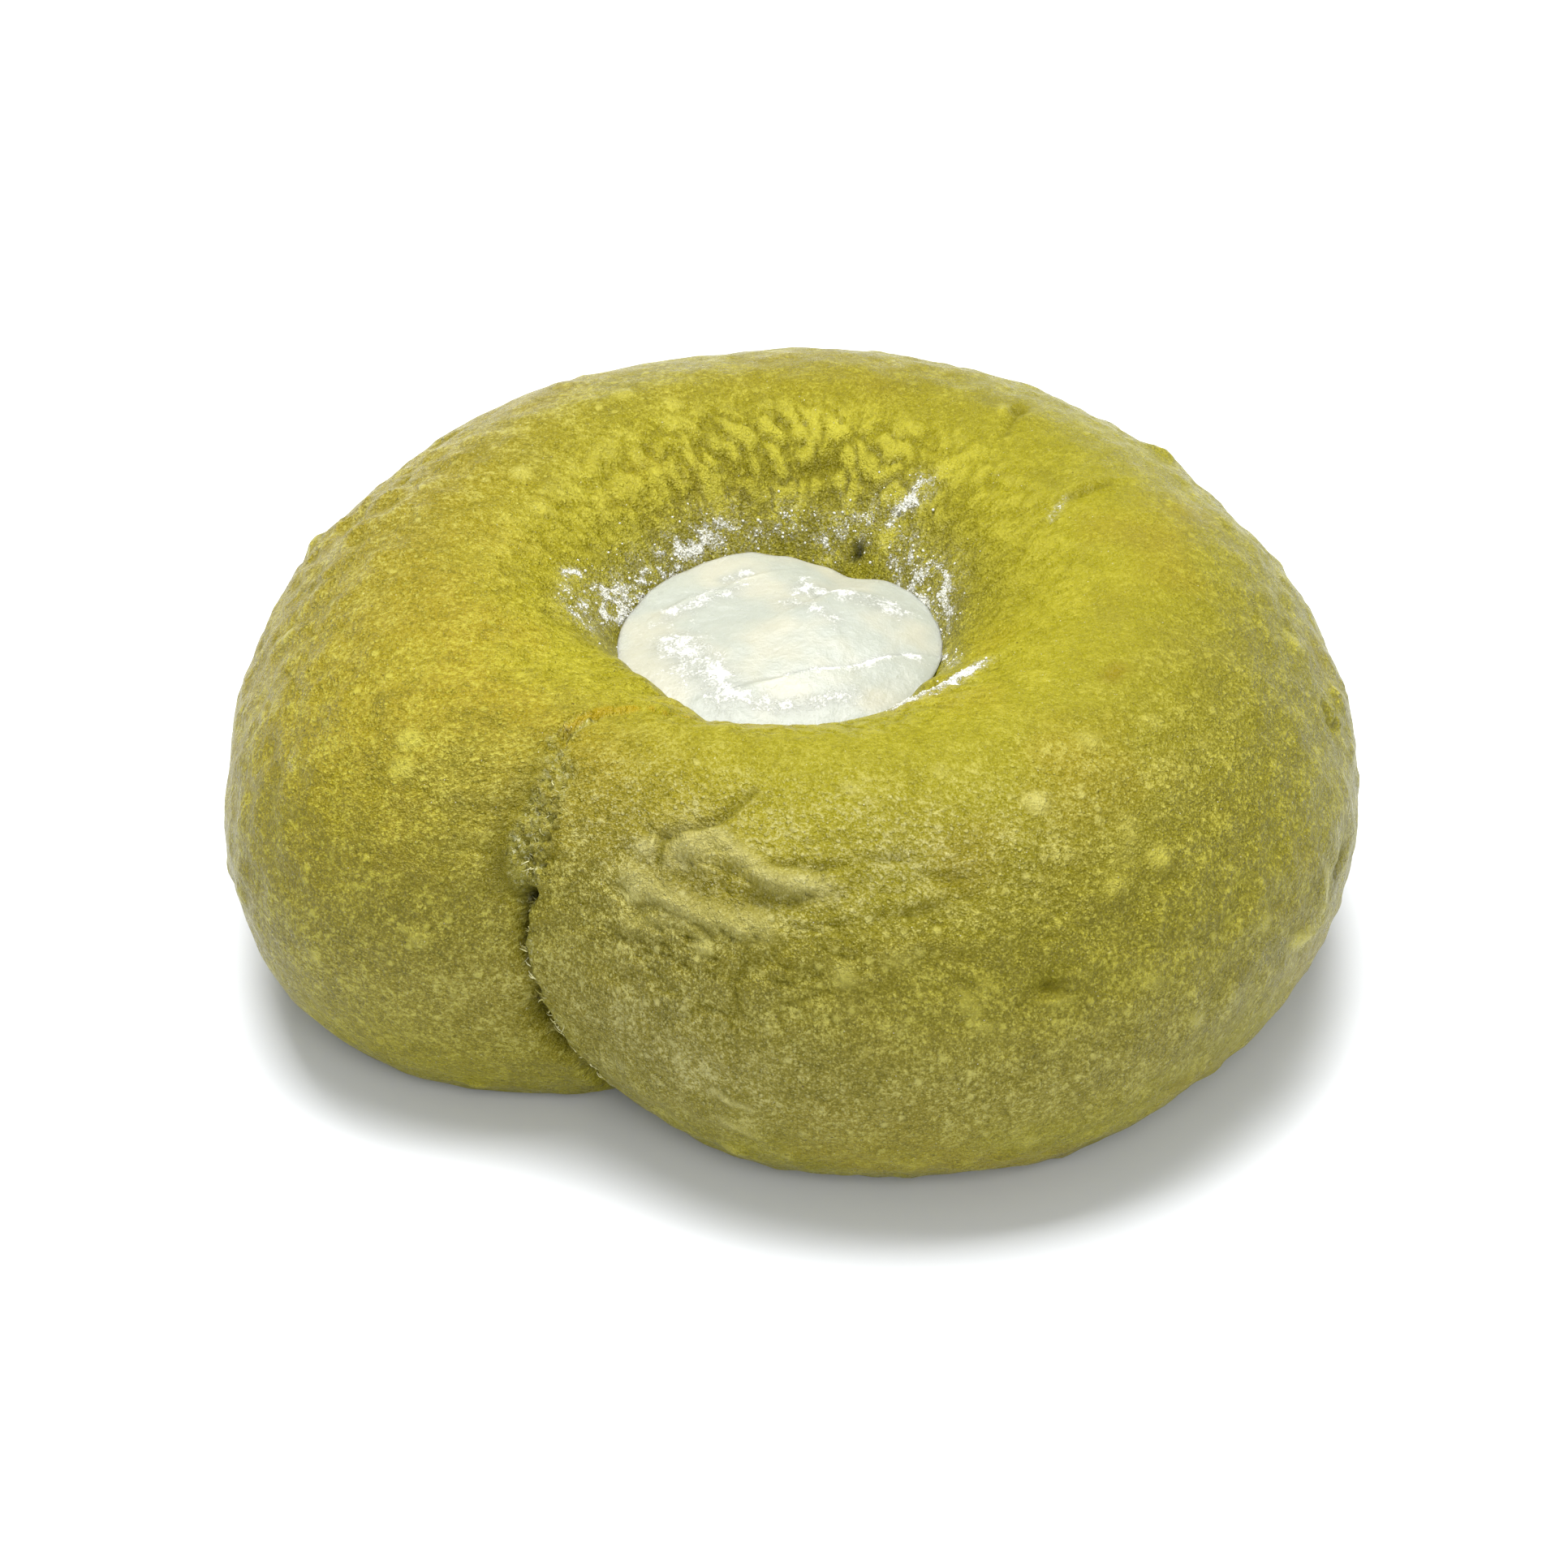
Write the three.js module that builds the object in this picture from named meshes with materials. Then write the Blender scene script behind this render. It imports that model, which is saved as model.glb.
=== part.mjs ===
// A round green tea bagel, baked in one piece, with a lump of white rice cake (mochi) filling its hole.
// Units are millimetres and +Z is up. The bagel stands on its flat baked base, at z = 0, and the origin
// is at the middle of the bounding box's base. The bagel's seam, where the two ends of the dough rope were
// pressed together, faces the front left, between -X and -Y.

import * as THREE from "three";
import { mergeVertices } from "three/addons/utils/BufferGeometryUtils.js";

// ---- Driving dimensions ----

// Reach of the crust from the hole's axis, at the twelve hours of a clock seen from above, from 12 o'clock
// at the back (+Y) round to the right. The seam is at about 7 o'clock.
const REACH_BY_HOUR = [53, 53, 52, 53.5, 54.5, 54, 50, 46, 54.5, 52.5, 51.5, 52.5];
const CROWN_HEIGHT = 40;
const WAIST_RADIUS = 11.5; // the hole's radius where it is narrowest
const BASE_SINK = 4; // how much of the round section the baking tray has flattened

// The seam is a valley across the rope. Its depth is given at three places round the section, and its two
// sides are measured along the ring.
const SEAM_ANGLE = THREE.MathUtils.degToRad(237.7);
const SEAM_SWING = THREE.MathUtils.degToRad(-3.7); // turns the top of the seam one way and its foot the other
const SEAM_DEPTH = { crown: 1.6, side: 4.5, foot: 5.3, hole: 1.5 };
const SEAM_WIDTH = { left: 8, right: 10 };
const SECTION_RADIUS = 20; // the depth is a share of this

// The rice cake
const FILLING_GAP = 0.35; // clearance between the filling and the dough
const FILLING_FLOOR = 1.5;
const FILLING_EDGE = 30.6; // where its top meets the dough
const FILLING_TOP = 33;
const FILLING_CORNER = 1.2; // rounding of its two rims

// Mesh fineness
const RING_STEPS = 108;
const SECTION_STEPS = 28;
const SEAM_CROWDING = 0.45; // draws the ring's steps together near the seam
const FILLING_STEPS = 56;
const FILLING_WALL_STEPS = 8;
const FILLING_FLOOR_SHARES = [0, 0.5, 0.93]; // where the rings of its floor and top lie, from axis to wall
const FILLING_TOP_SHARES = [0.95, 0.8, 0.6, 0.4, 0.2, 0];

const CRUST_COLOUR = 0xb3a63f;
const MOCHI_COLOUR = 0xeceadb;

// ---- The ring's shape ----

// Smooth closed curve through the twelve reaches (Catmull-Rom)
function reachAt(theta) {
  const hours = REACH_BY_HOUR.length;
  const hour = THREE.MathUtils.euclideanModulo(((Math.PI / 2 - theta) / (2 * Math.PI)) * hours, hours);
  const first = Math.floor(hour);
  const share = hour - first;
  const gauge = (offset) => REACH_BY_HOUR[(first + offset + hours) % hours];
  const [before, from, to, after] = [gauge(-1), gauge(0), gauge(1), gauge(2)];
  const pull = 2 * before - 5 * from + 4 * to - after + share * (3 * (from - to) + after - before);
  return from + 0.5 * share * (to - before + share * pull);
}

// The rope's oval section at one angle of the ring, before the tray flattens it
function sectionAt(theta) {
  const reach = reachAt(theta);
  return {
    centreRadius: (reach + WAIST_RADIUS) / 2,
    centreHeight: (CROWN_HEIGHT - BASE_SINK) / 2,
    halfWidth: (reach - WAIST_RADIUS) / 2,
    halfHeight: (CROWN_HEIGHT + BASE_SINK) / 2,
  };
}

// How deep the seam's valley is at a point of the ring. phi is 0 outside, a quarter turn at the crown.
function seamDepth(theta, phi, centreRadius) {
  const height = Math.sin(phi);
  const { crown, side, foot, hole } = SEAM_DEPTH;
  const outside = THREE.MathUtils.smoothstep(Math.cos(phi), -0.6, 0.4);
  const towards = height > 0 ? crown : foot;
  const outer = THREE.MathUtils.lerp(side, towards, Math.min(1, Math.abs(height)));
  const depth = THREE.MathUtils.lerp(hole, outer, outside);
  const turn = theta - SEAM_ANGLE - SEAM_SWING * height;
  const away = centreRadius * (THREE.MathUtils.euclideanModulo(turn + Math.PI, 2 * Math.PI) - Math.PI);
  return depth * Math.exp(-Math.abs(away) / (away < 0 ? SEAM_WIDTH.left : SEAM_WIDTH.right));
}

function ringPoint(theta, phi) {
  const { centreRadius, centreHeight, halfWidth, halfHeight } = sectionAt(theta);
  const shrink = 1 - seamDepth(theta, phi, centreRadius) / SECTION_RADIUS;
  const radius = centreRadius + shrink * halfWidth * Math.cos(phi);
  const height = centreHeight + shrink * halfHeight * Math.sin(phi);
  return new THREE.Vector3(radius * Math.cos(theta), radius * Math.sin(theta), Math.max(0, height));
}

// The hole's radius at one angle and height
function holeRadius(theta, height) {
  const { centreRadius, centreHeight, halfWidth, halfHeight } = sectionAt(theta);
  const rise = (height - centreHeight) / halfHeight;
  return centreRadius - halfWidth * Math.sqrt(1 - rise * rise);
}

// ---- Geometry ----

// Moves every vertex of a geometry and leaves one closed surface of shared vertices
function reshape(geometry, place) {
  const position = geometry.getAttribute("position");
  const uv = geometry.getAttribute("uv");
  const from = new THREE.Vector3();
  for (let i = 0; i < position.count; i++) {
    from.fromBufferAttribute(position, i);
    const to = place(from, uv.getX(i), uv.getY(i));
    position.setXYZ(i, to.x, to.y, to.z);
  }
  geometry.deleteAttribute("normal");
  geometry.deleteAttribute("uv");
  const merged = mergeVertices(geometry, 1e-3);
  merged.computeVertexNormals();
  return merged;
}

function doughGeometry() {
  const torus = new THREE.TorusGeometry(2, 1, SECTION_STEPS, RING_STEPS);
  return reshape(torus, (_, ringShare, sectionShare) => {
    const turn = (ringShare % 1) * 2 * Math.PI;
    const phi = (sectionShare % 1) * 2 * Math.PI;
    return ringPoint(turn - SEAM_CROWDING * Math.sin(turn - SEAM_ANGLE), phi);
  });
}

// A lathed plug whose side is then spread to the hole's wall. The profile's radius is a share of the hole's.
function mochiGeometry() {
  const profile = FILLING_FLOOR_SHARES.map((share) => new THREE.Vector2(share, FILLING_FLOOR));
  const wallFoot = FILLING_FLOOR + FILLING_CORNER;
  const wallHead = FILLING_EDGE - FILLING_CORNER;
  for (let i = 0; i <= FILLING_WALL_STEPS; i++) {
    profile.push(new THREE.Vector2(1, THREE.MathUtils.lerp(wallFoot, wallHead, i / FILLING_WALL_STEPS)));
  }
  for (const share of FILLING_TOP_SHARES) {
    const height = THREE.MathUtils.lerp(FILLING_TOP, FILLING_EDGE, share * share);
    profile.push(new THREE.Vector2(share, height));
  }
  const lathe = new THREE.LatheGeometry(profile, FILLING_STEPS).rotateX(Math.PI / 2);
  return reshape(lathe, (from) => {
    const share = Math.hypot(from.x, from.y);
    const theta = Math.atan2(from.y, from.x);
    const height = THREE.MathUtils.clamp(from.z, wallFoot, wallHead);
    const spread = share < 1e-6 ? 0 : holeRadius(theta, height) - FILLING_GAP;
    return new THREE.Vector3(from.x * spread, from.y * spread, from.z);
  });
}

// ---- The scene ----

const crust = new THREE.MeshStandardMaterial({ color: CRUST_COLOUR, roughness: 0.45, metalness: 0 });
const mochi = new THREE.MeshStandardMaterial({ color: MOCHI_COLOUR, roughness: 0.6, metalness: 0 });

const bagel = new THREE.Group();

const doughRing = new THREE.Mesh(doughGeometry(), crust);
doughRing.name = "bagel_ring";
bagel.add(doughRing);

const mochiFilling = new THREE.Mesh(mochiGeometry(), mochi);
mochiFilling.name = "mochi_filling";
bagel.add(mochiFilling);

// The hole isn't quite in the middle, so the whole is moved to put the origin under the bounding box
const middle = new THREE.Box3().setFromObject(bagel).getCenter(new THREE.Vector3());
bagel.position.set(-middle.x, -middle.y, 0);

export default bagel;
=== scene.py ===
import functools
import math
import random

import bmesh
import bpy
from mathutils import Matrix, Vector, noise


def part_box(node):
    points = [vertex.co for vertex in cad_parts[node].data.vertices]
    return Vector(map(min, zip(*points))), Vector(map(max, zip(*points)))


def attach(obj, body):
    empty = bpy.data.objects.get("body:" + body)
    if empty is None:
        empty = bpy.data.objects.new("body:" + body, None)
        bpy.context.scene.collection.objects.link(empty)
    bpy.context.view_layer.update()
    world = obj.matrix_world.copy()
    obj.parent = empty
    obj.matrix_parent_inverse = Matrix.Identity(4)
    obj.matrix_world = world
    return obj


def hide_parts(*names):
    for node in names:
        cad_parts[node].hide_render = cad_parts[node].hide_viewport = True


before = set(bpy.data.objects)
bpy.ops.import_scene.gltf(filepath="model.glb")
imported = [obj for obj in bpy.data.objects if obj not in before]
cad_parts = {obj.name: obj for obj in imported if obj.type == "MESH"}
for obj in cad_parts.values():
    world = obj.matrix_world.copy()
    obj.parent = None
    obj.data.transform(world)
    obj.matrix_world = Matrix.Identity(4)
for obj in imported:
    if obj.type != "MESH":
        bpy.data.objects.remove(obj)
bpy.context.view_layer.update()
mm = 0.001

# Places on the dough are given by two angles in degrees. "ring" goes anticlockwise round the hole, seen
# from above, with 0 at the right and 270 at the front. "round" goes round the rope's section, with 0 on the
# outside, 90 on the crown and 180 inside the hole. Shapes are worked out in millimetres about the hole's
# axis, and toFrame then takes a finished mesh to its place in the frame, in metres.


# small helpers

def smooth(low, high, x):
    share = min(1.0, max(0.0, (x - low) / (high - low)))
    return share * share * (3 - 2 * share)


def bell(x, width):
    return math.exp(-(x / width) ** 2)


def mix(a, b, share):
    return a + (b - a) * share


def turnFrom(origin, angle):
    return (angle - origin + 180) % 360 - 180  # signed, in degrees


def readOff(stops, x):
    # a value that changes smoothly between (place, value) stops
    if x <= stops[0][0]:
        return stops[0][1]
    for (x0, y0), (x1, y1) in zip(stops, stops[1:]):
        if x <= x1:
            return mix(y0, y1, smooth(x0, x1, x))
    return stops[-1][1]


def nearestOn(points, x, y):
    # distance to a line through points, the side it lies on and the share of the way along
    best = (1e9, 1.0, 0.0)
    last = len(points) - 1
    for index in range(last):
        (x0, y0), (x1, y1) = points[index], points[index + 1]
        dx, dy = x1 - x0, y1 - y0
        share = min(1.0, max(0.0, ((x - x0) * dx + (y - y0) * dy) / (dx * dx + dy * dy)))
        away = math.hypot(x - x0 - share * dx, y - y0 - share * dy)
        if away < best[0]:
            side = 1.0 if dx * (y - y0) - dy * (x - x0) > 0 else -1.0
            best = (away, side, (index + share) / last)
    return best


# the dough rope

dough = {
    "reachByHour": [53, 53, 52, 53.5, 54.5, 54, 50, 46, 54.5, 52.5, 51.5, 52.5],  # from 12 at the back
    # the hole's radius where it is narrowest
    "waistByHour": [11.5, 11.3, 10.9, 10.4, 10.0, 9.9, 10.2, 11.2, 11.9, 12.1, 11.8, 11.6],
    "crown": 40,
    "baseSink": 4,  # what the baking tray has flattened
    "baseEdge": 1.4,  # softness of the base's edge
    "ringSteps": 440,
    "sectionSteps": 222,
    "bigLumps": 0.5,
    "smallLumps": 0.48,
    "ripples": 0.5,
    "blisters": 0.3,
    "wrinkles": 0.62,
}

seam = {
    # where the rope's two ends meet, as (round, ring)
    "path": [(-180, 246), (-60, 246), (-30, 243.6), (-19, 240.5), (-9, 239.2), (0, 237.9), (17, 235.9),
             (30, 235.2), (46, 234.4), (67, 234), (81, 230.5), (90, 230), (98, 231), (106, 235),
             (113, 246), (180, 246)],
    # the rest are (round, mm): the depth of the valley and of the slot in it, how far the right side hangs
    # over, half the width of the torn band, and the height of the lip
    "valley": [(-60, 5.3), (-15, 4.4), (15, 3.0), (50, 2.4), (90, 1.3), (115, 1.2), (180, 1.4)],
    "valleyLeft": 8,
    "valleyRight": 10,
    "slot": [(-70, 1), (-50, 1.6), (-29, 0.8), (-26, 2.6), (-19.5, 2.6), (-18, 0.9), (-16.5, 0.9),
             (-14.5, 2.8), (-6, 2.8), (-3.5, 0.7), (-1.5, 1.9), (1.5, 1.7), (4, 0.7), (9, 0.8), (14, 1.6),
             (23, 1.5), (27, 1.0), (34, 0.2), (60, 0)],
    "overhang": [(-60, 0.3), (-45, 0.8), (-28, 0.3), (0, 0.25), (12, 0.3), (30, 0)],
    "band": [(22, 0.1), (32, 1.2), (42, 1.75), (54, 1.6), (66, 1.35), (80, 1.0), (92, 0.8), (100, 0.1)],
    "bandDepth": 0.5,
    "lip": [(78, 0), (90, 0.32), (104, 0.42), (113, 0.2), (125, 0)],
    "pitRound": 29.5,
    "pitDepth": 3.0,
    "pitSize": 0.85,
}

# Creases, ridges, bumps and dustings of the skin. A path is a list of (ring, round). "lift" is its height in
# mm, less than 0 for a dent. "step" raises what lies left of the path's direction, fading over "reach".
# "olive", "pale", "dust", "rim" and "deep" are shares of those colours; olive, on dents and creases, and
# deep are painted shade.
marks = [
    # the curled fold on the front lobe, the swelling below it and the ripples beside it, with pale as
    # painted highlight on their ridges and olive as painted shade in their dents
    dict(path=[(253, 50), (253, 57), (255.5, 61), (259.5, 65), (262.5, 72), (265, 78)],
         width=0.55, lift=-0.95, step=-0.55, reach=2.6, olive=1.0),
    dict(path=[(251.6, 51), (251.4, 56)], width=0.5, lift=0.35, pale=0.5),
    dict(path=[(255.5, 56), (258.5, 59)], width=2.1, lift=1.15, pale=0.6),
    dict(path=[(255, 48), (259, 46), (263, 45.5), (268, 47)], width=1.8, lift=-0.9, olive=0.4),
    dict(path=[(260, 62), (264, 57), (268, 52), (274, 51)], width=1.1, lift=0.95, pale=0.6),
    dict(path=[(250, 44), (255, 42), (261, 40), (267, 40.5)], width=1.3, lift=0.8, pale=0.6),
    dict(path=[(268, 57), (272, 56), (277, 57)], width=0.4, lift=-0.35, olive=0.5),
    dict(path=[(266, 47), (271, 48), (276, 50)], width=0.6, lift=-0.3, step=0.25, reach=2, olive=0.45),
    dict(path=[(279, 59), (283, 58.5), (286, 58)], width=0.5, lift=-0.4, step=0.2, reach=2, olive=0.5),
    dict(path=[(286, 55), (289, 52), (292, 53)], width=0.5, lift=-0.35, olive=0.5),
    dict(path=[(280, 44), (284, 45), (288, 47)], width=0.5, lift=-0.35, step=0.25, reach=2, olive=0.5),
    dict(path=[(258, 41), (268, 40), (280, 37), (291, 35), (303, 38), (316, 42)], width=2.6, lift=0.35),
    dict(path=[(251, 33), (256, 36)], width=1.1, lift=0.3, pale=0.3),
    dict(path=[(262, 75), (266, 70), (271, 68)], width=2.2, lift=-0.25),
    # pits and blisters lower on the front
    dict(path=[(296, 23), (298, 22)], width=0.8, lift=-0.8, olive=0.9),
    dict(path=[(296.4, 19.5), (298.2, 19)], width=0.5, lift=0.3, pale=0.6),
    dict(path=[(288, 24), (288.6, 20)], width=0.6, lift=0.35, pale=0.75),
    dict(path=[(289, 16.5), (290, 15.5)], width=0.7, lift=0.3, pale=0.6),
    dict(path=[(281, 33), (282.5, 34)], width=0.7, lift=0.3, pale=0.4),
    dict(path=[(306, 41), (307, 42)], width=0.6, lift=0.35, pale=0.8),
    dict(path=[(309, 46), (310.5, 49), (312, 54)], width=0.8, lift=0.3, step=0.2, reach=2, pale=0.4),
    dict(path=[(262, -8), (264, -11), (266, -12)], width=0.35, lift=0.22, pale=0.8),
    dict(path=[(263, -19), (265, -21)], width=0.6, lift=0.2, pale=0.7),
    dict(path=[(281, -30), (284, -31)], width=0.4, lift=0.2, pale=0.6),
    # the flap on the right with its pale lip, and the dent behind it
    dict(path=[(335, 9), (334.5, 3), (333, -1), (330.7, -2), (328, 1)],
         width=0.9, lift=0.4, step=-0.5, reach=2.4, pale=1.6),
    dict(path=[(341.5, 6), (338.8, 6), (337.8, 3)], width=0.8, lift=-1.0, olive=0.9),
    dict(path=[(352, 34), (350.5, 29), (352, 25)], width=0.5, lift=-0.4, step=0.35, reach=2.2, olive=0.4),
    dict(path=[(355, 27), (357, 24)], width=1.2, lift=0.5),
    # the slit, the wrinkle and the lump at the back right
    dict(path=[(51.8, 78), (51.2, 81)], width=0.55, lift=-1.1, olive=1.0),
    dict(path=[(51, 80), (50, 86), (48, 93)], width=0.35, lift=-0.4, step=0.2, reach=1.5, olive=0.7),
    dict(path=[(54, 81), (53, 85)], width=0.45, lift=0.25, pale=0.7),
    dict(path=[(24, 97), (25, 92), (25.5, 84)], width=0.45, lift=-0.45, step=0.3, reach=2.2, olive=0.8),
    dict(path=[(34, 96), (30, 97)], width=0.8, lift=-0.2, olive=0.5),
    dict(path=[(36, 50), (38, 45)], width=3.0, lift=0.75),
    dict(path=[(330, 86), (332.5, 86)], width=0.95, lift=-0.35, olive=0.9, rim=0.4),
    # where the hole's wall bulges inwards
    dict(path=[(190, 136), (202, 136), (213, 134), (224, 131), (232, 129)], width=4.4, lift=2.0),
    dict(path=[(316, 130), (326, 131)], width=4.0, lift=0.9),
    # a slit in the wall, darkened with painted shade
    dict(path=[(66, 139), (67, 143)], width=0.45, lift=-1.3, deep=0.9),
    # lumps that show along the left edge
    dict(path=[(158, 40), (162, 44)], width=2.2, lift=0.5),
    dict(path=[(197, -8), (199, -3)], width=0.6, lift=-0.4, olive=0.3),
    dict(path=[(183, 20), (186, 25)], width=1.6, lift=0.35),
    dict(path=[(120, 62), (124, 64)], width=2.5, lift=0.4),
    # starch thrown over the hole's rim
    dict(path=[(179, 131), (165, 136), (152, 139), (134, 139), (121, 138), (110, 136)], width=2.6, dust=0.8),
    dict(path=[(168, 141), (150, 144), (134, 144)], width=1.2, dust=0.9),
    dict(path=[(100, 138), (91, 134), (84, 137)], width=2.0, dust=0.5),
    dict(path=[(78, 139), (69, 133), (61, 130)], width=2.6, dust=0.6),
    dict(path=[(60, 131), (57, 127), (55, 121), (54, 117)], width=1.3, dust=0.9),
    dict(path=[(50, 136), (43, 140), (35, 138), (27, 137), (20, 141), (8, 144)], width=2.6, dust=0.7),
    dict(path=[(44, 144), (34, 143), (24, 145)], width=1.2, dust=0.8),
    dict(path=[(355, 144), (346, 139), (337, 134)], width=1.0, dust=0.7),
    dict(path=[(302, 127), (309, 125), (316, 123), (323, 122), (330, 122)], width=0.9, lift=0.4, dust=2.4),
    dict(path=[(184, 130), (172, 125)], width=1.2, dust=0.55),
    dict(path=[(167, 123), (164, 126)], width=0.8, dust=0.9),
    dict(path=[(21, 104), (23, 100.5)], width=0.45, lift=0.2, dust=1.2),
    dict(path=[(24, 98.5), (24.5, 97.5)], width=0.3, lift=0.1, dust=1.0),
    dict(path=[(203, 42.5), (204, 40.5)], width=0.45, lift=0.1, dust=0.9),
]

# broad stains of the crust, some partly painted light as said below: ring, round, half lengths along both in
# mm, and share
stains = {
    # olive: those at round 112 and above, low in the hole's wall by the rice cake, are partly a real olive
    # and partly painted shade of the hole
    "olive": [(88, 140, 15, 5, 0.7), (92, 128, 17, 4.5, 0.6), (138, 138, 18, 5, 0.9), (45, 135, 14, 6, 1.0),
              (8, 135, 10, 6, 0.8), (182, 138, 10, 5, 0.7), (110, 128, 9, 3.5, 0.5), (70, 124, 9, 4, 0.5),
              (335, 58, 20, 10, 0.45), (285, 31, 30, 8, 0.5), (218, 28, 13, 8, 0.4), (100, 112, 8, 4, 0.35),
              (90, 68, 36, 13, 0.4), (178, 50, 24, 16, 0.3), (320, 40, 20, 12, 0.25), (90, 90, 26, 20, 0.15),
              (70, 116, 5, 4, 0.35), (300, 46, 12, 8, 0.3), (355, 45, 12, 9, 0.3)],
    "warm": [(185, 40, 30, 22, 0.7), (222, 78, 9, 8, 0.5), (160, 60, 20, 12, 0.5), (210, 5, 18, 8, 0.4),
             (252, 40, 10, 10, 0.35), (88, 78, 14, 8, 0.4), (275, 5, 26, 8, 0.3)],
    # grey: those at round 5 and below, at the front's foot near the floor, are partly a real paler base and
    # partly painted reflection of the white floor
    "grey": [(246, 22, 6, 14, 0.5), (225, 62, 7, 6, 0.55), (262, 30, 14, 6, 0.3), (215, -8, 20, 8, 0.4),
             (288, 2, 44, 9, 0.75), (230, 5, 12, 8, 0.45), (260, -5, 20, 8, 0.4)],
    # where the pale mottling turns to cream
    "cream": [(266, 60, 14, 7, 0.9), (285, 66, 26, 9, 0.6), (150, 66, 26, 12, 0.5), (288, -6, 44, 8, 0.5),
              (255, 5, 10, 14, 0.5)],
    # where the crust is smooth and evenly coloured
    "calm": [(20, 88, 30, 14, 0.7), (75, 80, 25, 10, 0.5), (310, 98, 26, 9, 0.5), (270, 96, 18, 7, 0.35),
             (350, 110, 18, 10, 0.5), (290, -22, 60, 9, 0.4)],
}


def aroundHours(hours, ring):
    # a closed curve through twelve values
    hour = ((90 - ring) / 30) % 12
    first = int(hour)
    share = hour - first
    before, start, end, after = [hours[(first + k) % 12] for k in (-1, 0, 1, 2)]
    pull = 2 * before - 5 * start + 4 * end - after + share * (3 * (start - end) + after - before)
    return start + 0.5 * share * (end - before + share * pull)


@functools.cache
def ropeAt(ring):
    # the centre line's radius and the section's half width
    reach = aroundHours(dough["reachByHour"], ring)
    waist = aroundHours(dough["waistByHour"], ring)
    return (reach + waist) / 2, (reach - waist) / 2


@functools.cache
def seamAt(around):
    names = ("path", "valley", "slot", "overhang", "band", "lip")
    return [readOff(seam[name], around) for name in names]


centreHeight = (dough["crown"] - dough["baseSink"]) / 2
halfHeight = (dough["crown"] + dough["baseSink"]) / 2


def prepareMarks():
    # lays each path out flat, in mm from its middle point
    for mark in marks:
        ringMiddle, roundMiddle = mark["path"][len(mark["path"]) // 2]
        centre, halfWidth = ropeAt(ringMiddle)
        radius = centre + halfWidth * math.cos(math.radians(roundMiddle))
        mark["middle"] = (ringMiddle, roundMiddle)
        mark["scale"] = (math.radians(radius), math.radians(halfWidth))
        mark["flat"] = [(turnFrom(ringMiddle, a) * mark["scale"][0], (b - roundMiddle) * mark["scale"][1])
                        for a, b in mark["path"]]
        spread = 2.6 * max(mark["width"], mark.get("reach", 0))
        mark["room"] = max(math.hypot(x, y) for x, y in mark["flat"]) + spread


@functools.cache
def marksNear(ring):
    # each mark in reach, with how far along the ring it is
    aways = [(mark, turnFrom(mark["middle"][0], ring) * mark["scale"][0]) for mark in marks]
    return [(mark, x) for mark, x in aways if abs(x) < mark["room"]]


def markEffects(ring, around):
    lift = 0.0
    shares = {"olive": 0.0, "pale": 0.0, "dust": 0.0, "rim": 0.0, "deep": 0.0}
    for mark, x in marksNear(ring):
        y = turnFrom(mark["middle"][1], around) * mark["scale"][1]
        if abs(y) > mark["room"]:
            continue
        away, side, share = nearestOn(mark["flat"], x, y)
        strength = 0.35 + 0.65 * math.sin(math.pi * share)
        near = bell(away, mark["width"])
        lift += strength * mark.get("lift", 0.0) * near
        if "step" in mark:
            edge = min(1.0, away / (0.6 * mark["width"]))
            lift += strength * mark["step"] * side * edge * math.exp(-away / mark["reach"])
        for name in shares:
            if name in mark:
                shares[name] = max(shares[name], mark[name] * near)
    return lift, shares


@functools.cache
def stainsNear(kind, ring):
    centre, halfWidth = ropeAt(ring)
    near = []
    for ringMiddle, roundMiddle, lengthways, roundwise, share in stains[kind]:
        x = math.radians(turnFrom(ringMiddle, ring)) * centre / lengthways
        if abs(x) < 2.4:
            near.append((roundMiddle, math.radians(halfWidth) / roundwise, share * bell(x, 1)))
    return near


def stainShare(kind, ring, around):
    total = 0.0
    for middle, scale, share in stainsNear(kind, ring):
        total += share * bell(turnFrom(middle, around) * scale, 1)
    return min(1.0, total)


@functools.cache
def stretchAt(around):
    # how far from the rope's centre line a pattern's point lies, where less is more stretched
    inward = smooth(30, 125, around) if around > 0 else smooth(-60, -150, around)
    return mix(20.5, 15.0, inward)


def stretchedPlace(ring, around):
    # where a point of the skin lay before the dough was pulled towards the hole
    turn = math.radians(ring)
    side = math.radians(around)
    section = stretchAt(around)
    radius = 30.5 + section * math.cos(side)
    return Vector((radius * math.cos(turn), radius * math.sin(turn), section * math.sin(side)))


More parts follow.
